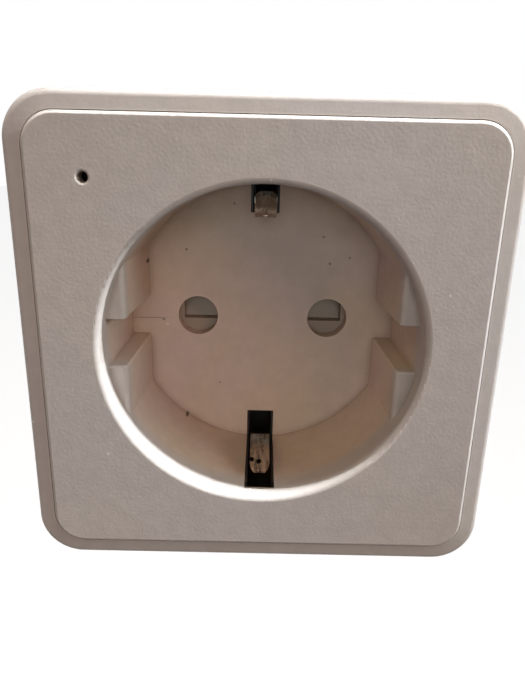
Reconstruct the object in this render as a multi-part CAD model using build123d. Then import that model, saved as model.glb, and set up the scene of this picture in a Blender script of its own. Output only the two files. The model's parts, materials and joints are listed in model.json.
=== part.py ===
from build123d import *

import math
import os

# Plug-in power meter: a square housing with an earthed round socket in front and a plug behind.
# All sizes are millimetres. X is to the right and Z is up, seen from the front.
# Depth is counted from the socket plate's front face towards the wall.
# The row's Y is zero on the plug's end face, so the socket plate faces -Y and the pins point +Y.

# Driving sizes
BODY_SIDE = 58.2
BODY_CORNER = 5.5
BODY_DEPTH = 41.0
PLUG_DEPTH = 17.0
PIN_LENGTH = 19.0
PIN_RADIUS = 2.4
PIN_X = 9.5
FACE_TO_PLUG_FACE = BODY_DEPTH + PLUG_DEPTH

WALL = 2.0
FRAME_FRONT = 0.4
FRAME_BACK = 3.0
FRAME_SLOPE_WIDTH = 2.15
FRAME_SLOPE_DEPTH = 0.18
FRAME_EDGE = 0.8
SEAM_EDGE = 0.25
SPLIT = 24.0
PLATE_SIDE = 53.7
PLATE_CORNER = 3.8
PLATE_THICKNESS = 2.0
PLATE_SLOPE_DEPTH = 0.3
PLATE_SLOPE_WIDTH = 0.33
PLATE_EDGE = 0.2
PLATE_GAP = 0.1

RECESS_RIM_RADIUS = 19.7
RECESS_FLOOR_RADIUS = 19.3
RECESS_DEPTH = 17.5
RECESS_RIM_EDGE = 0.7
CUP_RADIUS = 21.3
CHAMBER_RADIUS = 19.5
WALL_END = 18.0
FLOOR_BACK = 19.5
PIN_HOLE_RADIUS = 2.9

SHOULDER_FRONT = 3.0
SHOULDER_X_FRONT = 17.0
SHOULDER_X_FLOOR = 16.45
SHOULDER_EDGE = 0.6
NOTCH_HALF_FRONT = 3.03
NOTCH_HALF_FLOOR = 2.8
NOTCH_X_FRONT = 19.66
NOTCH_X_FLOOR = 19.15
NOTCH_EDGE = 0.25

SLOT_HALF = 2.02
SLOT_INNER_Z = 15.05
SLOT_FRONT = 3.9
SLOT_LEDGE_FRONT = 2.1
SLOT_LEDGE_Z = 20.5
HOLDER_HALF = 2.0
HOLDER_WALL = 0.3
HOLDER_BACK_Z = 23.4

RESET_X = -20.3
RESET_Z = 20.0

CHAMBER_BACK = 23.6
COVER_BACK = 24.8
BRACKET_FRONT = 25.0
BRACKET_BACK = 25.8
BOARD_FRONT = 27.0
BOARD_BACK = 28.6

CLIP_HINGE_DEPTH = 20.7
CLIP_ROOT_Z = 21.2
CLIP_TIP_DEPTH = 4.4
CLIP_THICKNESS = 0.6
CLIP_WIDTH = 2.7

SHUTTER_FRONT = 19.7
SHUTTER_BACK = 23.3
SHUTTER_TOP = 3.2
SHUTTER_BOTTOM = -5.2
SHUTTER_HALF = 13.4
SPRING_SEAT_Z = -13.6
SPRING_TOP_Z = -1.6
SPRING_DEPTH = 21.85
SPRING_RADIUS = 1.05
SPRING_WIRE = 0.2
SPRING_TURNS = 8

POST_X = 23.0
POST_Z = 13.0
POST_RADIUS = 2.9
SCREW_RADIUS = 1.1
SCREW_HEAD_RADIUS = 2.3
SCREW_SEAT = 34.0
FIT_GAP = 0.05

BOARD_SCREW_X = 13.0
BOARD_SCREW_Z = -23.5
COVER_SCREW_X = 16.6

PLUG_RADIUS = 18.5
PLUG_FLAT_X = 15.9
PLUG_KEY_HALF = 2.3
PLUG_CAVITY_RADIUS = 14.5
PLUG_END_WALL = 2.0
EARTH_CONTACT_Z = 16.75
EARTH_CONTACT_THICKNESS = 0.8
EARTH_CONTACT_HALF = 2.4
EARTH_BRIDGE_FRONT = 47.2
SLEEVE_FRONT = 25.1
SLEEVE_BACK = 40.0
PIN_ROOT = 44.0
PIN_SHANK_RADIUS = 2.8

RELAY_X = (-10.2, 10.2)
RELAY_Z = (7.2, 22.8)
RELAY_BACK = 38.6
RELAY_MID = 33.8

def row_y(depth):
    """Row Y of a depth behind the socket plate's front face."""
    return depth - FACE_TO_PLUG_FACE


def slab(outline, front, back):
    """Extrude an outline drawn in X and Z from one depth to another."""
    plane = Plane((0, row_y(back), 0), x_dir=(1, 0, 0), z_dir=(0, -1, 0))
    return extrude(plane * outline, back - front)


def rod(x, z, radius, front, back):
    """Round bar along the depth."""
    return slab(Pos(x, z) * Circle(radius), front, back)


def square(side, corner, front, back):
    """Slab with a rounded square outline, centred on the recess."""
    return slab(RectangleRounded(side, side, corner), front, back)


def block(x_range, z_range, front, back):
    """Rectangular block between two X values, two Z values and two depths."""
    width = x_range[1] - x_range[0]
    height = z_range[1] - z_range[0]
    centre = ((x_range[0] + x_range[1]) / 2, row_y((front + back) / 2), (z_range[0] + z_range[1]) / 2)
    return Pos(*centre) * Box(width, back - front, height)


def side_profile(points, x_low, x_high):
    """Extrude a polygon of (depth, z) points along X."""
    corners = [(row_y(depth), z) for depth, z in points]
    plane = Plane((x_low, 0, 0), x_dir=(0, 1, 0), z_dir=(1, 0, 0))
    return extrude(plane * Polygon(*corners, align=None), x_high - x_low, dir=(1, 0, 0))


def plan_profile(points, z_low, z_high):
    """Extrude a polygon of (x, depth) points along Z."""
    corners = [(x, row_y(depth)) for x, depth in points]
    plane = Plane((0, 0, z_low), x_dir=(1, 0, 0), z_dir=(0, 0, 1))
    return extrude(plane * Polygon(*corners, align=None), z_high - z_low, dir=(0, 0, 1))


def bar_x(depth, z, radius, x_low, x_high):
    """Round bar along X."""
    plane = Plane((x_low, row_y(depth), z), x_dir=(0, 1, 0), z_dir=(1, 0, 0))
    return extrude(plane * Circle(radius), x_high - x_low)


def edges_at_depth(solid, depth):
    """Edges that lie wholly at one depth."""
    level = row_y(depth)
    found = []
    for edge in solid.edges():
        box = edge.bounding_box()
        if abs(box.min.Y - level) < 0.001 and abs(box.max.Y - level) < 0.001:
            found.append(edge)
    return found


# Housing

def front_shell():
    """Square front half: the rim that shows round the socket plate, its side walls and screw bosses."""
    outer = square(BODY_SIDE, BODY_CORNER, FRAME_FRONT, SPLIT)
    outer = sloped_front(outer, FRAME_FRONT, FRAME_SLOPE_WIDTH, FRAME_SLOPE_DEPTH)
    outer = fillet(edges_at_depth(outer, FRAME_FRONT + FRAME_SLOPE_DEPTH), FRAME_EDGE)
    outer = chamfer(edges_at_depth(outer, SPLIT), SEAM_EDGE)
    inner_side = BODY_SIDE - 2 * WALL
    shell = outer - square(inner_side, BODY_CORNER - WALL, FRAME_BACK, SPLIT)
    shell -= square(PLATE_SIDE + 2 * PLATE_GAP, PLATE_CORNER + PLATE_GAP, FRAME_FRONT, PLATE_THICKNESS)
    shell -= rod(0, 0, CUP_RADIUS + 0.3, FRAME_FRONT, FRAME_BACK)
    shell -= rod(RESET_X, RESET_Z, 1.2, PLATE_THICKNESS, FRAME_BACK)
    for x, z in post_places():
        shell += rod(x, z, POST_RADIUS, FRAME_BACK, SPLIT)
        shell -= rod(x, z, SCREW_RADIUS + FIT_GAP, 12, SPLIT)
    return shell


def sloped_front(solid, front, width, drop):
    """Slopes a band along the edge of a solid's front face, to `drop` behind it at the edge."""
    front_face = solid.faces().sort_by(Axis.Y)[0]
    return chamfer(edges_at_depth(solid, front), width, drop, reference=front_face)


def post_places():
    """The four places where a case screw joins the two shells."""
    return [(x, z) for x in (-POST_X, POST_X) for z in (-POST_Z, POST_Z)]


def recess_void():
    """The space inside the socket recess, with its side shoulders left standing."""
    arc_centre = RECESS_RIM_RADIUS + RECESS_RIM_EDGE
    bend = RECESS_RIM_EDGE * math.sqrt(0.5)
    rim = (arc_centre, row_y(0))
    middle = (arc_centre - bend, row_y(RECESS_RIM_EDGE - bend))
    wall_top = (RECESS_RIM_RADIUS, row_y(RECESS_RIM_EDGE))
    floor_edge = (RECESS_FLOOR_RADIUS, row_y(RECESS_DEPTH))
    front = row_y(-1)
    outline = Line((0, front), (arc_centre, front)) + Line((arc_centre, front), rim)
    outline += ThreePointArc(rim, middle, wall_top)
    outline += Line(wall_top, floor_edge) + Line(floor_edge, (0, row_y(RECESS_DEPTH)))
    outline += Line((0, row_y(RECESS_DEPTH)), (0, front))
    void = revolve(make_face(outline), Axis.Y)
    void += rod(0, 0, RECESS_FLOOR_RADIUS, RECESS_DEPTH, WALL_END)
    for side in (-1, 1):
        void -= shoulders(side)
    return void


def shoulders(side):
    """The two shoulders on one side of the recess, with the keying notch between them."""
    past = 1.0
    run = RECESS_DEPTH - SHOULDER_FRONT
    slope = (SHOULDER_X_FRONT - SHOULDER_X_FLOOR) / run
    notch_slope = (NOTCH_X_FRONT - NOTCH_X_FLOOR) / run
    outside = CUP_RADIUS
    end = RECESS_DEPTH + past
    wall = [
        (side * SHOULDER_X_FRONT, SHOULDER_FRONT),
        (side * outside, SHOULDER_FRONT),
        (side * outside, end),
        (side * (SHOULDER_X_FLOOR - slope * past), end),
    ]
    notch_sides = [
        (SHOULDER_FRONT - past, NOTCH_HALF_FRONT),
        (end, NOTCH_HALF_FLOOR),
        (end, -NOTCH_HALF_FLOOR),
        (SHOULDER_FRONT - past, -NOTCH_HALF_FRONT),
    ]
    notch_back = [
        (side * 15, SHOULDER_FRONT - past),
        (side * (NOTCH_X_FRONT + notch_slope * past), SHOULDER_FRONT - past),
        (side * (NOTCH_X_FLOOR - notch_slope * past), end),
        (side * 15, end),
    ]
    low, high = sorted((side * 15, side * outside))
    notch = side_profile(notch_sides, low, high) & plan_profile(notch_back, -5, 5)
    pair = plan_profile(wall, -12, 12) - notch
    front_edges = edges_at_depth(pair, SHOULDER_FRONT)
    chord_edges = [edge for edge in front_edges if abs(abs(edge.center().X) - SHOULDER_X_FRONT) < 0.01]
    pair = fillet(chord_edges, SHOULDER_EDGE)
    front_edges = edges_at_depth(pair, SHOULDER_FRONT)
    notch_edges = [edge for edge in front_edges if abs(edge.center().Z) < NOTCH_HALF_FRONT + 0.1]
    return fillet([edge for edge in notch_edges if edge.bounding_box().size.X > 1], NOTCH_EDGE)


def earth_slot(side):
    """Slot for one earth clip, through the recess floor and wall, with a shallow ledge in front."""
    z_low, z_high = sorted((side * SLOT_INNER_Z, side * (CUP_RADIUS + 1)))
    slot = block((-SLOT_HALF, SLOT_HALF), (z_low, z_high), SLOT_FRONT, FLOOR_BACK)
    z_low, z_high = sorted((side * SLOT_INNER_Z, side * SLOT_LEDGE_Z))
    return slot + block((-SLOT_HALF, SLOT_HALF), (z_low, z_high), SLOT_LEDGE_FRONT, SLOT_FRONT)


def socket_plate():
    """Raised socket plate and the recess wall behind it, with shoulders, notches and reset hole."""
    plate = square(PLATE_SIDE, PLATE_CORNER, 0, PLATE_THICKNESS)
    plate = sloped_front(plate, 0, PLATE_SLOPE_WIDTH, PLATE_SLOPE_DEPTH)
    plate = fillet(edges_at_depth(plate, 0), PLATE_EDGE)
    plate += rod(0, 0, CUP_RADIUS, PLATE_THICKNESS, WALL_END)
    plate -= recess_void()
    for side in (-1, 1):
        plate -= earth_slot(side)
    return plate - reset_hole()


def reset_hole():
    """Pinhole with a rounded mouth."""
    radius = 0.6
    mouth = 0.3
    bend = mouth * math.sqrt(0.5)
    lip = (radius + mouth, row_y(0))
    middle = (radius + mouth - bend, row_y(mouth - bend))
    throat = (radius, row_y(mouth))
    back = row_y(PLATE_THICKNESS)
    outline = Line((0, row_y(0)), lip) + ThreePointArc(lip, middle, throat) + Line(throat, (radius, back))
    outline += Line((radius, back), (0, back)) + Line((0, back), (0, row_y(0)))
    return Pos(RESET_X, 0, RESET_Z) * revolve(make_face(outline), Axis.Y)


def socket_floor():
    """Disc whose front fits inside the recess wall, with pin holes, slots and two screw bosses."""
    disc = rod(0, 0, CUP_RADIUS, WALL_END, FLOOR_BACK)
    disc += recess_void() & rod(0, 0, CUP_RADIUS, RECESS_DEPTH, WALL_END)
    for side in (-1, 1):
        disc -= earth_slot(side)
        disc -= rod(side * PIN_X, 0, PIN_HOLE_RADIUS, RECESS_DEPTH, FLOOR_BACK)
        disc += rod(side * COVER_SCREW_X, 0, 1.8, FLOOR_BACK, CHAMBER_BACK)
        disc -= rod(side * COVER_SCREW_X, 0, 0.8, 20.3, CHAMBER_BACK)
    return disc


def clip_holder(side):
    """Black channel behind one earth slot that the clip works in."""
    wall_z = RECESS_FLOOR_RADIUS + 0.25
    channel = [
        (SLOT_FRONT + 0.05, side * (RECESS_RIM_RADIUS + 0.1)),
        (RECESS_DEPTH, side * wall_z),
        (RECESS_DEPTH, side * (SLOT_INNER_Z + 0.05)),
        (CHAMBER_BACK, side * (SLOT_INNER_Z + 0.05)),
        (CHAMBER_BACK, side * (HOLDER_BACK_Z + HOLDER_WALL)),
        (SLOT_FRONT + 0.05, side * (HOLDER_BACK_Z + HOLDER_WALL)),
    ]
    holder = side_profile(channel, -HOLDER_HALF, HOLDER_HALF)
    inner = HOLDER_HALF - HOLDER_WALL
    z_low, z_high = sorted((side * 10, side * HOLDER_BACK_Z))
    holder -= block((-inner, inner), (z_low, z_high), 0, CHAMBER_BACK - HOLDER_WALL)
    z_low, z_high = sorted((side * (CLIP_ROOT_Z - 0.1), side * (CLIP_ROOT_Z + 1)))
    return holder - block((-1.6, 1.6), (z_low, z_high), 0, CHAMBER_BACK)


def plug_outline(radius, flat_x, key_half):
    """Round plug outline with a flat on each side and a key rib in the middle of each flat."""
    body = Circle(radius) & Rectangle(2 * flat_x, 2 * radius)
    return body + (Circle(radius) & Rectangle(2 * radius, 2 * key_half))


def rear_shell():
    """Back half of the housing and the hollow plug body in one moulding."""
    box = square(BODY_SIDE, BODY_CORNER, SPLIT, BODY_DEPTH)
    box = fillet(edges_at_depth(box, BODY_DEPTH), 1.5)
    box = chamfer(edges_at_depth(box, SPLIT), SEAM_EDGE)
    plug = slab(plug_outline(PLUG_RADIUS, PLUG_FLAT_X, PLUG_KEY_HALF), BODY_DEPTH, FACE_TO_PLUG_FACE)
    plug = fillet(edges_at_depth(plug, FACE_TO_PLUG_FACE), 0.6)
    shell = box + plug
    shell -= square(BODY_SIDE - 2 * WALL, BODY_CORNER - WALL, SPLIT, BODY_DEPTH - WALL)
    shell -= rod(0, 0, PLUG_CAVITY_RADIUS, BODY_DEPTH - WALL, FACE_TO_PLUG_FACE - PLUG_END_WALL)
    for x, z in post_places():
        shell += rod(x, z, POST_RADIUS, SPLIT, BODY_DEPTH - WALL)
        shell -= rod(x, z, SCREW_RADIUS + 0.2, SPLIT, SCREW_SEAT)
        shell -= rod(x, z, SCREW_HEAD_RADIUS + 0.2, SCREW_SEAT, BODY_DEPTH)
    for side in (-1, 1):
        shell -= rod(side * PIN_X, 0, PIN_SHANK_RADIUS + FIT_GAP, 50, FACE_TO_PLUG_FACE)
        shell += rod(side * BOARD_SCREW_X, BOARD_SCREW_Z, 2.2, BOARD_BACK, BODY_DEPTH - WALL)
        shell -= rod(side * BOARD_SCREW_X, BOARD_SCREW_Z, 0.85, BOARD_BACK, 34)
        shell -= earth_channel(side)
    return shell


def earth_channel(side):
    """Groove along the plug body for one side contact, and the slit that its strap comes out of."""
    inner = EARTH_CONTACT_Z - EARTH_CONTACT_THICKNESS
    z_low, z_high = sorted((side * inner, side * (PLUG_RADIUS + 1)))
    groove = block((-2.8, 2.8), (z_low, z_high), 44.0, FACE_TO_PLUG_FACE)
    z_low, z_high = sorted((side * (PLUG_CAVITY_RADIUS - 1), side * inner))
    slit_back = EARTH_BRIDGE_FRONT + EARTH_CONTACT_THICKNESS
    return groove + block((-2.5, 2.5), (z_low, z_high), EARTH_BRIDGE_FRONT, slit_back)


def case_screws():
    """Four long screws from behind that clamp both shells to the socket insert."""
    screws = []
    for x, z in post_places():
        shank = rod(x, z, SCREW_RADIUS, 14, SCREW_SEAT)
        head = rod(x, z, SCREW_HEAD_RADIUS, SCREW_SEAT, SCREW_SEAT + 1.8)
        slot = block((x - 1.6, x + 1.6), (z - 0.3, z + 0.3), SCREW_SEAT + 1.1, SCREW_SEAT + 1.8)
        cross = block((x - 0.3, x + 0.3), (z - 1.6, z + 1.6), SCREW_SEAT + 1.1, SCREW_SEAT + 1.8)
        screws.append(shank + head - slot - cross)
    return Compound(children=screws)


# Child-safety shutter

def shutter():
    """One sliding shutter across both pin holes, with a ramp over each hole for a pin to push on."""
    body = block((-SHUTTER_HALF, SHUTTER_HALF), (SHUTTER_BOTTOM, SHUTTER_TOP), SHUTTER_FRONT, SHUTTER_BACK)
    ledge_z = -1.0
    ledge_depth = 2.0
    ramp = [
        (SHUTTER_FRONT - 0.1, ledge_z),
        (SHUTTER_FRONT + ledge_depth, ledge_z),
        (SHUTTER_BACK - 0.3, SHUTTER_TOP + 0.1),
        (SHUTTER_FRONT - 0.1, SHUTTER_TOP + 0.1),
    ]
    for side in (-1, 1):
        x_low, x_high = sorted((side * 6.6, side * 11.8))
        body -= side_profile(ramp, x_low, x_high)
    return body - block((-1.5, 1.5), (SHUTTER_BOTTOM, SPRING_TOP_Z), 20.4, SHUTTER_BACK)


def shutter_spring():
    """Compression spring under the shutter."""
    length = SPRING_TOP_Z - SPRING_SEAT_Z - 2 * SPRING_WIRE
    path = Helix(pitch=length / SPRING_TURNS, height=length, radius=SPRING_RADIUS)
    section = Plane(path @ 0, z_dir=path % 0) * Circle(SPRING_WIRE)
    coil = sweep(section, path=path)
    return Pos(0, row_y(SPRING_DEPTH), SPRING_SEAT_Z + SPRING_WIRE) * coil


def shutter_cover():
    """Tray that closes the shutter chamber: guides, top stop and spring seat stand on its inside."""
    tray = rod(0, 0, CUP_RADIUS, FLOOR_BACK, COVER_BACK)
    tray -= rod(0, 0, CHAMBER_RADIUS, FLOOR_BACK, CHAMBER_BACK)
    tray += block((-13.6, 13.6), (SHUTTER_TOP + FIT_GAP, 4.4), FLOOR_BACK, CHAMBER_BACK)
    tray += block((-1.6, 1.6), (-14.6, SPRING_SEAT_Z), FLOOR_BACK, CHAMBER_BACK)
    for side in (-1, 1):
        x_low, x_high = sorted((side * 13.6, side * 14.6))
        tray += block((x_low, x_high), (-12.5, 4.4), FLOOR_BACK, CHAMBER_BACK)
        tray -= rod(side * PIN_X, 0, 3.1, CHAMBER_BACK, COVER_BACK)
        tray -= rod(side * COVER_SCREW_X, 0, 1.0, CHAMBER_BACK, COVER_BACK)
        z_low, z_high = sorted((side * 14.9, side * (CUP_RADIUS + 1)))
        tray -= block((-2.1, 2.1), (z_low, z_high), FLOOR_BACK, COVER_BACK)
    return tray


def cover_screws():
    """Two small screws that hold the shutter cover."""
    screws = []
    for side in (-1, 1):
        shank = rod(side * COVER_SCREW_X, 0, 0.75, 20.6, COVER_BACK)
        screws.append(shank + rod(side * COVER_SCREW_X, 0, 1.5, COVER_BACK, COVER_BACK + 1.1))
    return Compound(children=screws)


# Earth path

def earth_clip(side):
    """Bowed earth clip: from its root in to the crest, then flared out to a round tip."""
    line = [(CLIP_HINGE_DEPTH, CLIP_ROOT_Z), (9.5, 15.2), (7.0, 16.35), (CLIP_TIP_DEPTH, 18.2)]
    shift = [(-0.2, 1.0), (0.0, 1.25), (0.28, 1.0), (0.35, 0.86)]
    inner = [(depth, side * z) for depth, z in line]
    outer = []
    for (depth, z), (back, out) in zip(line, shift):
        outer.append((depth + back * CLIP_THICKNESS, side * (z + out * CLIP_THICKNESS)))
    strip = side_profile(inner + outer[::-1], -CLIP_WIDTH / 2, CLIP_WIDTH / 2)
    tip_radius = CLIP_WIDTH / 2 - 0.05
    shoulder = CLIP_TIP_DEPTH + tip_radius
    half = CLIP_WIDTH / 2
    body = [(-half, shoulder), (half, shoulder), (half, CLIP_HINGE_DEPTH), (-half, CLIP_HINGE_DEPTH)]
    round_tip = Pos(0, row_y(shoulder), 0) * Cylinder(tip_radius, 50)
    strip = strip & (plan_profile(body, -25, 25) + round_tip)
    groove = [(9.1, side * 15.0), (7.2, side * 15.8), (7.2, side * 16.4), (9.1, side * 15.55)]
    return strip - side_profile(groove, -0.25, 0.25)


def earth_bracket():
    """Strap behind the shutter cover whose bent ends carry the two earth clips."""
    tab_z = CLIP_ROOT_Z + 0.8
    strap = block((-1.5, 1.5), (-tab_z, tab_z), BRACKET_FRONT, BRACKET_BACK)
    strap += block((-3, 3), (-14.5, 14.5), BRACKET_FRONT, BRACKET_BACK)
    for side in (-1, 1):
        z_low, z_high = sorted((side * CLIP_ROOT_Z, side * tab_z))
        strap += block((-1.5, 1.5), (z_low, z_high), CLIP_HINGE_DEPTH + 0.2, BRACKET_BACK)
    return strap


def earth_link():
    """Flat bar that joins the socket's earth bracket to the plug's earth strap."""
    return block((-2, 2), (-0.4, 0.4), BRACKET_BACK, EARTH_BRIDGE_FRONT)


def plug_earth_strap():
    """U-shaped strap inside the plug whose legs are the plug's two side contacts."""
    outer = EARTH_CONTACT_Z
    inner = EARTH_CONTACT_Z - EARTH_CONTACT_THICKNESS
    bridge_back = EARTH_BRIDGE_FRONT + EARTH_CONTACT_THICKNESS
    half = EARTH_CONTACT_HALF
    strap = block((-half, half), (-inner, inner), EARTH_BRIDGE_FRONT, bridge_back)
    for side in (-1, 1):
        z_low, z_high = sorted((side * inner, side * outer))
        strap += block((-half, half), (z_low, z_high), EARTH_BRIDGE_FRONT, 57.0)
    return strap


# Live and neutral path

def contact_sleeve(side):
    """Slit tube that grips a plug pin, with a rim at its mouth."""
    tube = rod(side * PIN_X, 0, 3.0, SLEEVE_FRONT, SLEEVE_BACK)
    tube -= rod(side * PIN_X, 0, 2.3, SLEEVE_FRONT, SLEEVE_BACK - 1)
    x_low, x_high = sorted((side * PIN_X, side * (PIN_X + 4)))
    return tube - block((x_low, x_high), (-0.3, 0.3), SLEEVE_FRONT, SLEEVE_BACK - 3)


def plug_pin(side):
    """Plug pin: a thicker shank and collar inside, and a round pin with a domed end outside."""
    x = side * PIN_X
    end = FACE_TO_PLUG_FACE + PIN_LENGTH
    pin = rod(x, 0, PIN_RADIUS, FACE_TO_PLUG_FACE - 0.5, end)
    pin = fillet(edges_at_depth(pin, end), PIN_RADIUS - 0.4)
    return pin + rod(x, 0, PIN_SHANK_RADIUS, PIN_ROOT, FACE_TO_PLUG_FACE) + rod(x, 0, 3.4, 48.4, 50.0)


def pin_carrier():
    """Insulating block in the plug that holds both pins behind their collars."""
    carrier = rod(0, 0, PLUG_CAVITY_RADIUS - FIT_GAP, 50.0, FACE_TO_PLUG_FACE - PLUG_END_WALL)
    for side in (-1, 1):
        carrier -= rod(side * PIN_X, 0, PIN_SHANK_RADIUS + FIT_GAP, 50.0, FACE_TO_PLUG_FACE)
    return carrier


def neutral_bar():
    """Short bar straight from the neutral sleeve to the neutral pin."""
    return block((PIN_X - 2, PIN_X + 2), (-1.2, 1.2), SLEEVE_BACK, PIN_ROOT)


def live_supply_bar():
    """Bent bar from the live pin up and forward to the board beside the relay."""
    bar = block((-PIN_X - 2, -PIN_X + 2), (-1.2, 5.6), PIN_ROOT - 0.8, PIN_ROOT)
    return bar + block((-PIN_X - 2, -PIN_X + 2), (4.8, 5.6), BOARD_BACK, PIN_ROOT)


def live_output_bar():
    """Bent bar from the board back to the live sleeve's closed end."""
    bar = block((-PIN_X - 2, -PIN_X + 2), (-5.6, 1.2), SLEEVE_BACK, SLEEVE_BACK + 0.8)
    return bar + block((-PIN_X - 2, -PIN_X + 2), (-5.6, -4.8), BOARD_BACK, SLEEVE_BACK)


def current_shunt():
    """Low-value bridge that the meter measures current across."""
    arch = block((-5.5, 5.5), (-7.6, -4.6), BOARD_BACK, BOARD_BACK + 2.6)
    return arch - block((-4.5, 4.5), (-7.6, -4.6), BOARD_BACK, BOARD_BACK + 1.6)


# Electronics

def main_board():
    """Square circuit board across the housing, with holes for sleeves, posts, screws and earth bar."""
    board = square(52.0, 3.0, BOARD_FRONT, BOARD_BACK)
    for side in (-1, 1):
        board -= rod(side * PIN_X, 0, 3.4, BOARD_FRONT, BOARD_BACK)
        board -= rod(side * BOARD_SCREW_X, BOARD_SCREW_Z, 1.1, BOARD_FRONT, BOARD_BACK)
    for x, z in post_places():
        board -= rod(x, z, POST_RADIUS + 0.3, BOARD_FRONT, BOARD_BACK)
    return board - block((-2.4, 2.4), (-0.8, 0.8), BOARD_FRONT, BOARD_BACK)


def board_screws():
    """Two screws that hold the board to the rear shell."""
    screws = []
    for side in (-1, 1):
        shank = rod(side * BOARD_SCREW_X, BOARD_SCREW_Z, 0.8, BOARD_FRONT, 33.0)
        screws.append(shank + rod(side * BOARD_SCREW_X, BOARD_SCREW_Z, 1.9, BOARD_FRONT - 1.3, BOARD_FRONT))
    return Compound(children=screws)


def box_on_back(x_range, z_range, height):
    """Rectangular component on the back of the board."""
    return block(x_range, z_range, BOARD_BACK, BOARD_BACK + height)


def box_on_front(x_range, z_range, height):
    """Rectangular component on the front of the board."""
    return block(x_range, z_range, BOARD_FRONT - height, BOARD_FRONT)


def radio_module():
    """Small radio board that lies on the main board, with its aerial end left bare."""
    return box_on_back((-9, 9), (-23.6, -9.0), 0.9)


def radio_shield():
    """Metal can over the radio module's circuit."""
    can = block((-7.5, 7.5), (-18.6, -9.6), BOARD_BACK + 0.9, BOARD_BACK + 3.1)
    return can - block((-7.2, 7.2), (-18.3, -9.9), BOARD_BACK + 0.9, BOARD_BACK + 2.8)


def metering_chip():
    """Energy measuring chip."""
    return box_on_back((-20.5, -15.5), (-8.0, -4.0), 1.6)


def mains_capacitor():
    """Film capacitor block in the upper right corner."""
    return fillet(box_on_front((15.5, 25.3), (19.2, 25.2), 12).edges(), 0.5)


def bulk_capacitor():
    """Round electrolytic capacitor in the lower left corner."""
    return rod(-20.5, -20.5, 4.0, BOARD_FRONT - 12, BOARD_FRONT)


def power_transformer():
    """Small supply transformer in the lower right corner."""
    core = box_on_front((16.2, 25.4), (-25.4, -16.2), 9)
    waist = box_on_front((16.2, 18.2), (-22.8, -18.8), 7) + box_on_front((23.4, 25.4), (-22.8, -18.8), 7)
    return core - waist


def varistor():
    """Surge-limiting disc that stands beside the recess."""
    return bar_x(BOARD_FRONT - 5, 0, 5.0, 22.0, 25.4)


def thermal_fuse():
    """Fuse lying along the side opposite the varistor."""
    axis_x = -23.8
    barrel = Pos(axis_x, row_y(BOARD_FRONT - 1.7), 0) * Cylinder(1.6, 8)
    lead = Pos(axis_x, row_y(BOARD_FRONT - 1.7), 0) * Cylinder(0.4, 12)
    return barrel + lead


# Relay, lying on the back of the board above the sleeves

def relay_base():
    """Relay floor, flat on the board."""
    return block(RELAY_X, RELAY_Z, BOARD_BACK, BOARD_BACK + 1.0)


def relay_case():
    """Relay cover over the working parts."""
    outer = block(RELAY_X, RELAY_Z, BOARD_BACK + 1.0, RELAY_BACK)
    wall = 0.7
    inner_x = (RELAY_X[0] + wall, RELAY_X[1] - wall)
    inner_z = (RELAY_Z[0] + wall, RELAY_Z[1] - wall)
    return outer - block(inner_x, inner_z, BOARD_BACK + 1.0, RELAY_BACK - wall)


def relay_coil():
    """Wound bobbin, bored for the core."""
    coil = bar_x(RELAY_MID, 13.4, 3.4, -7.4, 2.6)
    for x_low in (-7.4, 1.8):
        coil += bar_x(RELAY_MID, 13.4, 3.9, x_low, x_low + 0.8)
    return coil - bar_x(RELAY_MID, 13.4, 1.55, -7.4, 2.6)


def relay_yoke():
    """Iron frame and core that carry the magnetic flux."""
    yoke = block((-8.6, -7.5), (9.6, 19.2), RELAY_MID - 3, RELAY_MID + 3)
    yoke += block((-8.6, 4.0), (18.2, 19.2), RELAY_MID - 3, RELAY_MID + 3)
    yoke += bar_x(RELAY_MID, 13.4, 1.5, -7.5, 2.9)
    return yoke + bar_x(RELAY_MID, 13.4, 2.6, 2.9, 3.7)


def relay_armature():
    """Hinged iron flap that the coil pulls in."""
    return block((4.35, 5.15), (10.4, 19.4), RELAY_MID - 2.8, RELAY_MID + 2.8)


def relay_leaf():
    """Contact leaf on the armature, with the moving contact at its end."""
    leaf = block((5.15, 5.4), (8.4, 17.4), RELAY_MID - 2.0, RELAY_MID + 2.0)
    return leaf + bar_x(RELAY_MID, 9.3, 0.9, 4.55, 5.15)


def relay_fixed_contact():
    """Fixed contact and its terminal blade."""
    blade = block((3.0, 3.4), (8.3, 9.9), BOARD_BACK + 1.0, RELAY_MID + 1.6)
    return blade + bar_x(RELAY_MID, 9.1, 0.8, 3.4, 3.95)


# Reset switch behind the pinhole

def reset_switch_case():
    """Body of the long-stem push switch."""
    case = box_on_front((RESET_X - 3, RESET_X + 3), (RESET_Z - 3, RESET_Z + 3), 3.6)
    return case - rod(RESET_X, RESET_Z, 1.9, BOARD_FRONT - 3.6, BOARD_FRONT - 1.0)


def reset_plunger():
    """Long stem that a thin pin pushed through the plate presses."""
    return rod(RESET_X, RESET_Z, 1.7, 5.0, BOARD_FRONT - 1.5)


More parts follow.
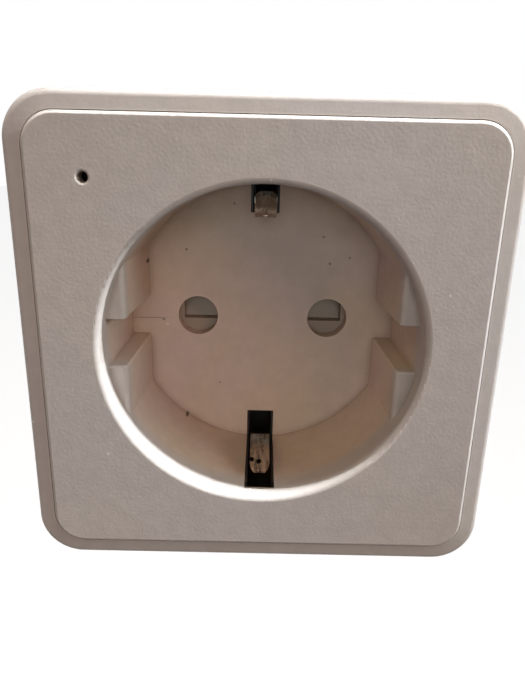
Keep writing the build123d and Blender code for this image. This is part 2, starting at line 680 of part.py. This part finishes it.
def build_nodes():
    """Every node's solid, by name."""
    return {
        "front_shell": front_shell(),
        "socket_plate": socket_plate(),
        "socket_floor": socket_floor(),
        "rear_shell": rear_shell(),
        "case_screws": case_screws(),
        "shutter": shutter(),
        "shutter_spring": shutter_spring(),
        "shutter_cover": shutter_cover(),
        "cover_screws": cover_screws(),
        "clip_holder_upper": clip_holder(1),
        "clip_holder_lower": clip_holder(-1),
        "earth_clip_upper": earth_clip(1),
        "earth_clip_lower": earth_clip(-1),
        "earth_bracket": earth_bracket(),
        "earth_link": earth_link(),
        "plug_earth_strap": plug_earth_strap(),
        "live_sleeve": contact_sleeve(-1),
        "neutral_sleeve": contact_sleeve(1),
        "live_pin": plug_pin(-1),
        "neutral_pin": plug_pin(1),
        "pin_carrier": pin_carrier(),
        "neutral_bar": neutral_bar(),
        "live_supply_bar": live_supply_bar(),
        "live_output_bar": live_output_bar(),
        "current_shunt": current_shunt(),
        "main_board": main_board(),
        "board_screws": board_screws(),
        "radio_module": radio_module(),
        "radio_shield": radio_shield(),
        "metering_chip": metering_chip(),
        "mains_capacitor": mains_capacitor(),
        "bulk_capacitor": bulk_capacitor(),
        "power_transformer": power_transformer(),
        "varistor": varistor(),
        "thermal_fuse": thermal_fuse(),
        "relay_base": relay_base(),
        "relay_case": relay_case(),
        "relay_coil": relay_coil(),
        "relay_yoke": relay_yoke(),
        "relay_armature": relay_armature(),
        "relay_leaf": relay_leaf(),
        "relay_fixed_contact": relay_fixed_contact(),
        "reset_switch_case": reset_switch_case(),
        "reset_plunger": reset_plunger(),
    }


os.makedirs("parts", exist_ok=True)
for name, solid in build_nodes().items():
    export_step(solid, os.path.join("parts", name + ".step"))
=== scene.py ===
import json
import math

import bmesh
import bpy
from mathutils import Matrix, Vector


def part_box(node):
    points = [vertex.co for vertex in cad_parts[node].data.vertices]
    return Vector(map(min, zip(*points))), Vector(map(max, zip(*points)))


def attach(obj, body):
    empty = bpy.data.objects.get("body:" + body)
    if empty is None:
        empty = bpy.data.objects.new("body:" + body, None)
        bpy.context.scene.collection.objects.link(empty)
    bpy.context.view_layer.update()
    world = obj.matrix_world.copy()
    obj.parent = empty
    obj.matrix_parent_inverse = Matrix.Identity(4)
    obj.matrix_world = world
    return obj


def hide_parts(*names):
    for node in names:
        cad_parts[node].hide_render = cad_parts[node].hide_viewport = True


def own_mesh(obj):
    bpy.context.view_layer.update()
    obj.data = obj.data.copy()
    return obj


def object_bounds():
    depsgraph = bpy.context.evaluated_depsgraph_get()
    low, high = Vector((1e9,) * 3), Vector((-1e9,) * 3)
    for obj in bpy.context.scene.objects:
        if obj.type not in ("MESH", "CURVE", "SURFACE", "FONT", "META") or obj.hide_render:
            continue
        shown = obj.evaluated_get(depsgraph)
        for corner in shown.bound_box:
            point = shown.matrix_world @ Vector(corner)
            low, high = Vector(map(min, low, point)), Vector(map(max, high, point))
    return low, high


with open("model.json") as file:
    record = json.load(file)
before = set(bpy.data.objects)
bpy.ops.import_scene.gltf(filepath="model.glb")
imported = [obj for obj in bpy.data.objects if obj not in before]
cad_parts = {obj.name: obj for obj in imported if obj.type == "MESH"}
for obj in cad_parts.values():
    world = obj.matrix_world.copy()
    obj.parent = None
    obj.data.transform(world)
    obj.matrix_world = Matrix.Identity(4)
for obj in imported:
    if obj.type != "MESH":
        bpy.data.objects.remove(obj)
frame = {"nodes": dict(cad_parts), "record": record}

# Looks of a plug-in power meter, an earthed round socket in front of a square housing.
# Everything is in metres in the CAD frame: the socket faces -Y and Z is up.

MM = 0.001
CAD_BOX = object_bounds()
FACE_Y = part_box("socket_plate")[0].y


# Node helpers

class Shader:
    """One node material, built up call by call."""

    def __init__(self, name):
        self.material = bpy.data.materials.new(name)
        self.material.use_nodes = True
        self.tree = self.material.node_tree
        self.surface = self.tree.nodes["Principled BSDF"]
        self.place = self.node("ShaderNodeTexCoord").outputs["Object"]

    def node(self, kind, **settings):
        made = self.tree.nodes.new(kind)
        for key, value in settings.items():
            setattr(made, key, value)
        return made

    def feed(self, socket, value):
        """Links a node output to a socket, or sets the socket's own value."""
        if isinstance(value, bpy.types.NodeSocket):
            self.tree.links.new(value, socket)
        else:
            socket.default_value = value

    def set(self, **values):
        """Sets shader sockets by name, with underscores for spaces."""
        for name, value in values.items():
            self.feed(self.surface.inputs[name.replace("_", " ")], value)

    def math(self, operation, first, second=0.0, clamp=False):
        step = self.node("ShaderNodeMath", operation=operation, use_clamp=clamp)
        self.feed(step.inputs[0], first)
        self.feed(step.inputs[1], second)
        return step.outputs[0]

    def stretched(self, x, y, z):
        """The place with each axis scaled, for streaks."""
        step = self.node("ShaderNodeVectorMath", operation="MULTIPLY")
        self.feed(step.inputs[0], self.place)
        step.inputs[1].default_value = (x, y, z)
        return step.outputs[0]

    def noise(self, size, detail=3.0, roughness=0.5, place=None):
        """Noise from 0 to 1 whose blobs are about `size` metres across."""
        step = self.node("ShaderNodeTexNoise")
        self.feed(step.inputs["Vector"], place or self.place)
        step.inputs["Scale"].default_value = 1.0 / size
        step.inputs["Detail"].default_value = detail
        step.inputs["Roughness"].default_value = roughness
        return step.outputs["Fac"]

    def cells(self, size, place=None):
        """Distance to scattered points about `size` metres apart, in units of that spacing."""
        step = self.node("ShaderNodeTexVoronoi")
        self.feed(step.inputs["Vector"], place or self.place)
        step.inputs["Scale"].default_value = 1.0 / size
        return step.outputs["Distance"]

    def between(self, value, low, high, bottom=0.0, top=1.0):
        """Maps low..high to bottom..top with soft ends."""
        step = self.node("ShaderNodeMapRange", interpolation_type="SMOOTHSTEP")
        self.feed(step.inputs["Value"], value)
        step.inputs["From Min"].default_value = low
        step.inputs["From Max"].default_value = high
        step.inputs["To Min"].default_value = bottom
        step.inputs["To Max"].default_value = top
        return step.outputs["Result"]

    def blend(self, amount, first, second, kind="MIX"):
        """Mixes two colours, each a node output or a plain colour."""
        step = self.node("ShaderNodeMixRGB", blend_type=kind)
        self.feed(step.inputs["Fac"], amount)
        for socket, colour in ((step.inputs["Color1"], first), (step.inputs["Color2"], second)):
            plain = not isinstance(colour, bpy.types.NodeSocket)
            self.feed(socket, (*colour, 1.0) if plain else colour)
        return step.outputs["Color"]

    def part_of_place(self, axis):
        step = self.node("ShaderNodeSeparateXYZ")
        self.feed(step.inputs[0], self.place)
        return step.outputs[axis]

    def distance_to(self, x, y, z, stretch=(1.0, 1.0, 1.0)):
        """Distance from a point, in metres, with each axis stretched."""
        step = self.node("ShaderNodeVectorMath", operation="DISTANCE")
        self.feed(step.inputs[0], self.stretched(*stretch))
        step.inputs[1].default_value = (x * stretch[0], y * stretch[1], z * stretch[2])
        return step.outputs["Value"]

    def worn_edges(self, radius, low=0.02, high=0.35):
        """Near 1 on convex and concave edges, from a rounded normal against the true one."""
        rounded = self.node("ShaderNodeBevel", samples=4)
        rounded.inputs["Radius"].default_value = radius
        true_normal = self.node("ShaderNodeNewGeometry")
        compare = self.node("ShaderNodeVectorMath", operation="DISTANCE")
        self.feed(compare.inputs[0], rounded.outputs["Normal"])
        self.feed(compare.inputs[1], true_normal.outputs["Normal"])
        return self.between(compare.outputs["Value"], low, high)

    def shaded_corners(self, reach):
        """Near 1 in corners and seams, where ambient occlusion finds shade; a mask for painted shade."""
        step = self.node("ShaderNodeAmbientOcclusion", samples=6)
        step.inputs["Distance"].default_value = reach
        return self.between(step.outputs["AO"], 0.35, 0.95, 1.0, 0.0)

    def bump(self, height, depth, strength=1.0, below=None):
        """Bump of `depth` metres, optionally on top of another bump."""
        step = self.node("ShaderNodeBump")
        step.inputs["Strength"].default_value = strength
        step.inputs["Distance"].default_value = depth
        self.feed(step.inputs["Height"], height)
        if below is not None:
            self.feed(step.inputs["Normal"], below)
        return step.outputs["Normal"]


# Plastics

WARM_WHITE = (0.585, 0.535, 0.495)
COOL_WHITE = (0.575, 0.532, 0.508)
# Brown of dirt and of painted shade in corners and seams.
GRIME_AND_SHADE = (0.20, 0.125, 0.075)
RUBBED = (0.74, 0.69, 0.63)
SPECK = (0.92, 0.89, 0.85)
DIRT = (0.035, 0.022, 0.016)
GRAIN_DEPTH = 0.000018


def moulded_white(name):
    """Warm white housing plastic with a spark-eroded grain, brown dirt and painted shade in its corners;
    gives the shader and its colour.
    """
    shader = Shader(name)
    cloud = shader.between(shader.noise(0.022, 2.0), 0.35, 0.65)
    colour = shader.blend(cloud, WARM_WHITE, COOL_WHITE)
    mottle = shader.between(shader.noise(0.0018, 4.0, 0.6), 0.3, 0.7, 0.965, 1.035)
    colour = tinted(shader, colour, mottle)
    # Painted shade with brown dirt: the occlusion mask for corners and seams, broken up by noise, mixed
    # towards brown.
    grime_and_shade = shader.math("MULTIPLY", shader.shaded_corners(0.0012), shader.noise(0.004, 4.0))
    colour = shader.blend(shader.math("MULTIPLY", grime_and_shade, 0.8), colour, GRIME_AND_SHADE)
    colour = shader.blend(shader.math("MULTIPLY", shader.worn_edges(0.0004), 0.35), colour, RUBBED)
    speck = shader.between(shader.cells(0.0045), 0.035, 0.055, 1.0, 0.0)
    rare = shader.between(shader.noise(0.006, 0.0), 0.56, 0.62)
    speck = shader.math("MULTIPLY", speck, rare)
    colour = shader.blend(shader.math("MULTIPLY", speck, 0.55), colour, SPECK)
    scuffs = shader.noise(0.010, 5.0, 0.65, shader.stretched(1.0, 1.0, 2.5))
    normal = shader.bump(shader.noise(0.00035, 2.0, 0.6), GRAIN_DEPTH)
    normal = shader.bump(shader.noise(0.006, 2.0), 0.00002, 1.0, normal)
    shader.set(
        Base_Color=colour,
        Roughness=shader.between(scuffs, 0.3, 0.7, 0.42, 0.62),
        Specular_IOR_Level=0.4,
        Normal=normal,
    )
    return shader, colour


def tinted(shader, colour, amount):
    """Scales a colour by a number."""
    step = shader.node("ShaderNodeVectorMath", operation="SCALE")
    shader.feed(step.inputs[0], colour)
    shader.feed(step.inputs["Scale"], amount)
    return step.outputs[0]


def housing_plastic():
    """Grained plastic of the two shells."""
    return moulded_white("housing_plastic")[0].material


# Dirt in the recess: x, depth behind the plate, z and half height in mm, then height over width
# and darkness.
RECESS_MARKS = [
    (-16.5, 16.5, 8.1, 0.22, 3.0, 0.95),
    (-11.1, 17.5, 9.7, 0.12, 1.0, 0.70),
    (-4.3, 17.5, 16.2, 0.14, 1.3, 0.55),
    (8.4, 17.5, 11.9, 0.13, 1.0, 0.50),
    (9.5, 17.5, 8.1, 0.14, 1.0, 0.60),
    (12.3, 17.5, 9.0, 0.12, 1.0, 0.55),
    (-6.3, 17.5, -10.5, 0.13, 1.0, 0.40),
    (-11.3, 17.0, -15.7, 0.20, 1.0, 0.85),
    (-14.6, 17.5, -0.7, 0.14, 1.0, 0.50),
    (-16.6, 17.5, -0.5, 0.06, 0.03, 0.45),
]


# How yellowing and painted warm bounce light scale the white inside the recess.
DEEP_YELLOWING_AND_BOUNCE = (1.14, 1.02, 0.88)
SLIGHT_YELLOWING_AND_BOUNCE = (1.14, 1.02, 0.94)
# Depths behind the plate between which the yellowing and painted warm bounce light set in, in metres.
RECESS_TINT_FROM = 0.0031
RECESS_TINT_FULLY = 0.0060


def socket_plastic():
    """Plate and recess: grained all over; inside the recess browner, from yellowing and painted warm
    bounce light, and spotted with dirt.
    """
    shader, colour = moulded_white("socket_plastic")
    depth = shader.math("SUBTRACT", shader.part_of_place("Y"), FACE_Y)
    # Inside the recess the white is warmed: partly yellowing, partly painted warm bounce light.
    inside = shader.between(depth, RECESS_TINT_FROM, RECESS_TINT_FULLY)
    cloud = shader.between(shader.noise(0.011, 2.0), 0.35, 0.65)
    warm_tint = shader.blend(cloud, DEEP_YELLOWING_AND_BOUNCE, SLIGHT_YELLOWING_AND_BOUNCE)
    aged_and_bounce = shader.blend(1.0, colour, warm_tint, "MULTIPLY")
    colour = shader.blend(inside, colour, aged_and_bounce)
    for mark in RECESS_MARKS:
        colour = spotted(shader, colour, *mark)
    shader.set(Base_Color=colour)
    return shader.material


def spotted(shader, colour, x, depth, z, radius, tall, darkness):
    """One small dark spot of dirt with a ragged rim."""
    distance = shader.distance_to(x * MM, FACE_Y + depth * MM, z * MM, (tall, 0.3, 1.0))
    ragged = shader.between(shader.noise(0.0003, 2.0), 0.2, 0.8, 0.8, 1.25)
    distance = shader.math("MULTIPLY", distance, ragged)
    spot = shader.between(distance, radius * MM, 1.7 * radius * MM, darkness, 0.0)
    return shader.blend(spot, colour, DIRT)


def shutter_plastic():
    """Smooth cream plastic of the shutter and its tray."""
    shader = Shader("shutter_plastic")
    cloud = shader.noise(0.006, 3.0)
    colour = shader.blend(cloud, (0.44, 0.345, 0.265), (0.38, 0.30, 0.24))
    rubbed = shader.math("MULTIPLY", shader.worn_edges(0.0003), 0.5)
    colour = shader.blend(rubbed, colour, (0.56, 0.46, 0.37))
    streak = shader.noise(0.0006, 2.0, 0.5, shader.stretched(4.0, 1.0, 1.0))
    shader.set(
        Base_Color=colour,
        Roughness=shader.between(streak, 0.3, 0.7, 0.32, 0.5),
        Normal=shader.bump(streak, 0.00002),
    )
    return shader.material


def plain_plastic(name, colour, dark, low_gloss, high_gloss):
    """Moulded part in one colour with cloudy gloss, fine grain and rubbed edges."""
    shader = Shader(name)
    cloud = shader.noise(0.003, 3.0)
    base = shader.blend(cloud, colour, dark)
    rubbed = tuple(min(1.0, part * 1.6 + 0.03) for part in colour)
    base = shader.blend(shader.math("MULTIPLY", shader.worn_edges(0.0003), 0.5), base, rubbed)
    fine = shader.noise(0.0004, 2.0)
    shader.set(
        Base_Color=base,
        Roughness=shader.between(cloud, 0.3, 0.7, low_gloss, high_gloss),
        Normal=shader.bump(fine, 0.00002),
    )
    return shader.material


# Metals

def plated_metal(name, bright, dull, worn):
    """Bright metal with drawn streaks, dull clouds and worn edges; gives the shader and its colour."""
    shader = Shader(name)
    streak = shader.noise(0.0004, 3.0, 0.6, shader.stretched(1.0, 0.08, 0.25))
    cloud = shader.noise(0.0025, 4.0, 0.6)
    colour = shader.blend(shader.between(cloud, 0.35, 0.65), bright, dull)
    colour = shader.blend(shader.math("MULTIPLY", shader.worn_edges(0.0002), 0.6), colour, worn)
    shader.set(
        Base_Color=colour,
        Metallic=1.0,
        Roughness=shader.between(streak, 0.3, 0.7, 0.25, 0.45),
        Normal=shader.bump(streak, 0.00001),
    )
    return shader, colour


# Colours of the earth clips: bright, dull and worn plating, then what use has done to it.
CLIP_PLATING = ((0.66, 0.65, 0.60), (0.38, 0.35, 0.30), (0.80, 0.78, 0.72))
BARE_COPPER = (0.86, 0.60, 0.44)
DARK_STREAK = (0.12, 0.09, 0.07)
PIT_BLACK = (0.012, 0.008, 0.006)
TARNISH = (0.16, 0.16, 0.14)
BROWN_CREST = (0.34, 0.22, 0.17)
# Dark pits near the lower clip's tip: x, depth and z in mm.
CLIP_PITS = [(-0.1, 5.5, -17.4), (-1.1, 5.7, -17.2)]


def worn_clip():
    """Plating of the earth clips: the lower tip rubbed to copper and pitted, the upper tip tarnished."""
    shader, colour = plated_metal("worn_clip", *CLIP_PLATING)
    depth = shader.math("SUBTRACT", shader.part_of_place("Y"), FACE_Y)
    low_side = shader.between(shader.part_of_place("Z"), -0.002, 0.002, 1.0, 0.0)
    tip = shader.between(depth, 0.0070, 0.0082, 1.0, 0.0)
    copper = shader.math("MULTIPLY", shader.math("MULTIPLY", tip, low_side), 0.85)
    colour = shader.blend(copper, colour, BARE_COPPER)
    streaks = shader.noise(0.0006, 3.0, 0.7, shader.stretched(1.0, 0.15, 0.3))
    streaks = shader.between(streaks, 0.52, 0.64)
    colour = shader.blend(shader.math("MULTIPLY", streaks, 0.7), colour, DARK_STREAK)
    for x, pit_depth, z in CLIP_PITS:
        distance = shader.distance_to(x * MM, FACE_Y + pit_depth * MM, z * MM)
        pit = shader.between(distance, 0.00025, 0.00045, 1.0, 0.0)
        colour = shader.blend(pit, colour, PIT_BLACK)
    upper_side = shader.between(shader.part_of_place("Z"), -0.002, 0.002)
    tarnish = shader.math("MULTIPLY", shader.between(depth, 0.0062, 0.0070, 1.0, 0.0), upper_side)
    colour = shader.blend(shader.math("MULTIPLY", tarnish, 0.75), colour, TARNISH)
    crest = shader.math("MULTIPLY", shader.between(depth, 0.0078, 0.0086), upper_side)
    colour = shader.blend(shader.math("MULTIPLY", crest, 0.7), colour, BROWN_CREST)
    shader.set(Base_Color=colour)
    return shader.material


def circuit_board():
    """Green solder mask with faint copper tracks under it."""
    shader = Shader("circuit_board")
    tracks = shader.node("ShaderNodeTexBrick", offset=0.35)
    tracks.inputs["Scale"].default_value = 90.0
    tracks.inputs["Mortar Size"].default_value = 0.03
    turned = shader.node("ShaderNodeMapping")
    turned.inputs["Rotation"].default_value = (math.radians(90), 0, 0)
    shader.feed(turned.inputs["Vector"], shader.place)
    shader.feed(tracks.inputs["Vector"], turned.outputs["Vector"])
    colour = shader.blend(tracks.outputs["Fac"], (0.012, 0.085, 0.035), (0.03, 0.17, 0.07))
    stain = shader.math("MULTIPLY", shader.noise(0.004, 3.0), 0.3)
    colour = shader.blend(stain, colour, (0.01, 0.05, 0.03))
    shader.set(
        Base_Color=colour,
        Roughness=shader.between(shader.noise(0.002), 0.3, 0.7, 0.22, 0.4),
        Coat_Weight=0.4,
        Normal=shader.bump(tracks.outputs["Fac"], 0.00003),
    )
    return shader.material


def wound_copper():
    """Enamelled wire wound round the relay coil."""
    shader = Shader("wound_copper")
    turns = shader.node("ShaderNodeTexWave", bands_direction="X", wave_profile="SIN")
    shader.feed(turns.inputs["Vector"], shader.place)
    turns.inputs["Scale"].default_value = 900.0
    turns.inputs["Distortion"].default_value = 0.6
    colour = shader.blend(turns.outputs["Fac"], (0.24, 0.075, 0.025), (0.62, 0.27, 0.12))
    shader.set(
        Base_Color=colour,
        Metallic=0.8,
        Roughness=shader.between(shader.noise(0.001), 0.3, 0.7, 0.25, 0.4),
        Normal=shader.bump(turns.outputs["Fac"], 0.0001),
    )
    return shader.material


# Pieces that CAD only holds a place for

SPRING_WIRE = 0.0002
SPRING_TURNS = 8
STEPS_PER_TURN = 24


def shutter_coil():
    """The shutter's spring, wound as a coil of wire in place of the CAD spring, which it hides."""
    low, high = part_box("shutter_spring")
    centre = (low + high) / 2
    radius = (high.x - low.x) / 2 - SPRING_WIRE
    length = high.z - low.z
    steps = SPRING_TURNS * STEPS_PER_TURN
    curve = bpy.data.curves.new("coil_line", "CURVE")
    curve.dimensions = "3D"
    curve.bevel_depth = SPRING_WIRE
    curve.bevel_resolution = 2
    curve.use_fill_caps = True
    line = curve.splines.new("POLY")
    line.points.add(steps)
    for step, point in enumerate(line.points):
        turn = 2 * math.pi * step / STEPS_PER_TURN
        rise = low.z + SPRING_WIRE + (length - 2 * SPRING_WIRE) * step / steps
        point.co = (centre.x + radius * math.cos(turn), centre.y + radius * math.sin(turn), rise, 1.0)
    holder = bpy.data.objects.new("coil_line", curve)
    mesh = bpy.data.meshes.new_from_object(holder)
    bpy.data.objects.remove(holder)
    coil = bpy.data.objects.new("shutter_coil", mesh)
    bpy.context.scene.collection.objects.link(coil)
    for face in mesh.polygons:
        face.use_smooth = True
    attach(coil, "housing")
    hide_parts("shutter_spring")
    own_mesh(coil)
    return coil


# Bright, dull and worn colour of each plain metal.
METALS = {
    "screw_steel": ((0.62, 0.62, 0.63), (0.42, 0.41, 0.40), (0.75, 0.74, 0.72)),
    "spring_steel": ((0.50, 0.49, 0.48), (0.34, 0.33, 0.32), (0.66, 0.65, 0.63)),
    "pin_nickel": ((0.74, 0.72, 0.68), (0.60, 0.57, 0.52), (0.66, 0.50, 0.28)),
    "contact_brass": ((0.76, 0.55, 0.28), (0.50, 0.34, 0.17), (0.86, 0.68, 0.40)),
}
# Colour, darker colour, and lowest and highest roughness of each plain plastic.
PLASTICS = {
    "dark_plastic": ((0.012, 0.011, 0.011), (0.020, 0.018, 0.017), 0.35, 0.55),
    "yellow_plastic": ((0.72, 0.50, 0.06), (0.60, 0.40, 0.05), 0.25, 0.4),
    "blue_plastic": ((0.03, 0.12, 0.36), (0.02, 0.09, 0.28), 0.22, 0.38),
    "capacitor_can": ((0.05, 0.055, 0.07), (0.09, 0.09, 0.10), 0.2, 0.35),
}


def make_materials():
    """One material for each of the record's slots."""
    materials = {
        "white_plastic": housing_plastic(),
        "shutter_plastic": shutter_plastic(),
        "clip_nickel": worn_clip(),
        "circuit_board": circuit_board(),
        "coil_copper": wound_copper(),
    }
    for name, colours in METALS.items():
        materials[name] = plated_metal(name, *colours)[0].material
    for name, look in PLASTICS.items():
        materials[name] = plain_plastic(name, *look)
    return materials


def dress_nodes():
    """Gives every CAD node the material of its slot; the socket's two pieces have their own."""
    materials = make_materials()
    socket = socket_plastic()
    own = {"socket_plate": socket, "socket_floor": socket}
    for row in frame["record"]["subparts"]:
        name = row["node"]
        chosen = own.get(name, materials[row["material_slot"]])
        for place in frame["nodes"][name].material_slots:
            place.material = chosen
    shutter_coil().data.materials.append(materials["spring_steel"])


# Stage, light and camera

FLOOR_BELOW = 0.30
FLOOR_SIDE = 6.0


def pale_floor():
    """White paper behind and below the meter, which hangs free as it would on a wall."""
    level = CAD_BOX[0][2] - FLOOR_BELOW
    mesh = bpy.data.meshes.new("paper_floor")
    form = bmesh.new()
    bmesh.ops.create_grid(form, x_segments=2, y_segments=2, size=FLOOR_SIDE / 2)
    form.to_mesh(mesh)
    form.free()
    floor = bpy.data.objects.new("paper_floor", mesh)
    floor.location = (0.0, FACE_Y + FLOOR_SIDE / 2, level)
    bpy.context.scene.collection.objects.link(floor)
    shader = Shader("paper")
    fibre = shader.noise(0.002, 4.0)
    shader.set(
        Base_Color=shader.blend(fibre, (0.93, 0.93, 0.93), (0.95, 0.95, 0.95)),
        Roughness=0.9,
        Specular_IOR_Level=0.1,
        Normal=shader.bump(fibre, 0.00005),
    )
    mesh.materials.append(shader.material)


def studio_dome(strength):
    """Even dim light from all round; the camera sees a plain white backdrop in its place."""
    world = bpy.data.worlds.new("studio_dome")
    world.use_nodes = True
    bpy.context.scene.world = world
    tree = world.node_tree
    light = tree.nodes["Background"]
    light.inputs["Color"].default_value = (1.0, 0.99, 0.98, 1.0)
    light.inputs["Strength"].default_value = strength
    backdrop = tree.nodes.new("ShaderNodeBackground")
    backdrop.inputs["Color"].default_value = (1.0, 1.0, 1.0, 1.0)
    path = tree.nodes.new("ShaderNodeLightPath")
    mixed = tree.nodes.new("ShaderNodeMixShader")
    tree.links.new(path.outputs["Is Camera Ray"], mixed.inputs[0])
    tree.links.new(light.outputs[0], mixed.inputs[1])
    tree.links.new(backdrop.outputs[0], mixed.inputs[2])
    tree.links.new(mixed.outputs[0], tree.nodes["World Output"].inputs["Surface"])


def direction(azimuth, elevation):
    """Unit vector towards a light; azimuth 0 is in front and 90 to the right, in degrees."""
    turn, lift = math.radians(azimuth), math.radians(elevation)
    return Vector((math.sin(turn) * math.cos(lift), -math.cos(turn) * math.cos(lift), math.sin(lift)))


def place_light(name, data, towards, distance, aim):
    """Puts a light at a distance from the middle of the socket plate and points it along aim."""
    thing = bpy.data.objects.new(name, data)
    bpy.context.scene.collection.objects.link(thing)
    thing.location = Vector((0.0, FACE_Y, 0.0)) + towards * distance
    thing.rotation_euler = aim.to_track_quat("-Z", "Y").to_euler()


def soft_light(name, azimuth, elevation, distance, size, brightness, colour):
    """Round soft light; brightness is what a white surface facing it shows at the socket."""
    towards = direction(azimuth, elevation)
    data = bpy.data.lights.new(name, "AREA")
    data.shape = "DISK"
    data.size = size
    data.energy = brightness * math.pi ** 2 * distance ** 2
    data.color = colour
    place_light(name, data, towards, distance, -towards)


EDGE_LIGHT_HALF_CONE = math.radians(20)
# How far behind the plate the hard light still reaches.
EDGE_LIGHT_SPILL = 0.0045


def edge_light(azimuth, elevation, distance, size, brightness, colour):
    """Hard light that grazes the plate and is cut off just behind it, so the sides stay out of it."""
    towards = direction(azimuth, elevation)
    forward = Vector((0.0, -1.0, 0.0))
    forward = (forward - forward.dot(towards) * towards).normalized()
    turned = EDGE_LIGHT_HALF_CONE - math.atan(EDGE_LIGHT_SPILL / distance)
    aim = math.sin(turned) * forward - math.cos(turned) * towards
    data = bpy.data.lights.new("edge_light", "SPOT")
    data.shadow_soft_size = size / 2
    data.spot_size = 2 * EDGE_LIGHT_HALF_CONE
    data.spot_blend = 0.02
    data.energy = brightness * math.pi * 4 * math.pi * distance ** 2
    data.color = colour
    place_light("edge_light", data, towards, distance, aim)


def light_from_above(brightness):
    """Even light straight down, which whitens the paper and the upper edges and misses the face."""
    data = bpy.data.lights.new("overhead", "SUN")
    data.energy = brightness * math.pi
    data.angle = math.radians(8)
    thing = bpy.data.objects.new("overhead", data)
    bpy.context.scene.collection.objects.link(thing)


# Azimuth and elevation in degrees, distance and width in metres, brightness and colour.
HARD_LIGHT = (84.0, 50.0, 0.45, 0.02, 3.0, (0.92, 0.98, 1.02))
SOFT_LIGHTS = {
    "front_fill": (0.0, 8.0, 0.7, 0.35, 0.17, (0.96, 0.95, 0.92)),
    "right_fill": (75.0, 25.0, 0.32, 0.14, 0.36, (0.88, 1.0, 1.0)),
    "warm_fill": (40.0, 25.0, 0.9, 0.4, 0.17, (1.0, 0.60, 0.50)),
    "left_fill": (-45.0, 50.0, 0.9, 0.4, 0.12, (1.0, 0.80, 0.45)),
    "low_left_fill": (-60.0, 10.0, 0.9, 0.4, 0.05, (1.0, 0.60, 0.70)),
}
DOME_BRIGHTNESS = 0.05
OVERHEAD_BRIGHTNESS = 0.95


def studio_light():
    """Dim dome, light from above, one hard light across the plate and five soft ones."""
    studio_dome(DOME_BRIGHTNESS)
    light_from_above(OVERHEAD_BRIGHTNESS)
    edge_light(*HARD_LIGHT)
    for name, settings in SOFT_LIGHTS.items():
        soft_light(name, *settings)


CAMERA_PITCH = math.radians(18.04)
CAMERA_YAW = math.radians(-0.405)
CAMERA_ROLL = math.radians(1.425)
CAMERA_DISTANCE = 0.0684
CAMERA_X = -0.0005
CAMERA_Z = 0.0228
CAMERA_LENS = 30.85
SENSOR_HEIGHT = 36.0
NEAREST_SEEN = 0.005


def camera():
    """Close view from just above the socket's axis."""
    data = bpy.data.cameras.new("camera")
    data.sensor_fit = "VERTICAL"
    data.sensor_height = SENSOR_HEIGHT
    data.lens = CAMERA_LENS
    data.clip_start = NEAREST_SEEN
    viewer = bpy.data.objects.new("camera", data)
    bpy.context.scene.collection.objects.link(viewer)
    turn = Matrix.Rotation(CAMERA_YAW, 4, "Z")
    turn @= Matrix.Rotation(math.radians(90) - CAMERA_PITCH, 4, "X")
    turn @= Matrix.Rotation(CAMERA_ROLL, 4, "Z")
    place = Matrix.Translation((CAMERA_X, FACE_Y - CAMERA_DISTANCE, CAMERA_Z))
    viewer.matrix_world = place @ turn
    bpy.context.scene.camera = viewer


dress_nodes()
pale_floor()
studio_light()
camera()
bpy.context.scene.view_settings.view_transform = "Standard"
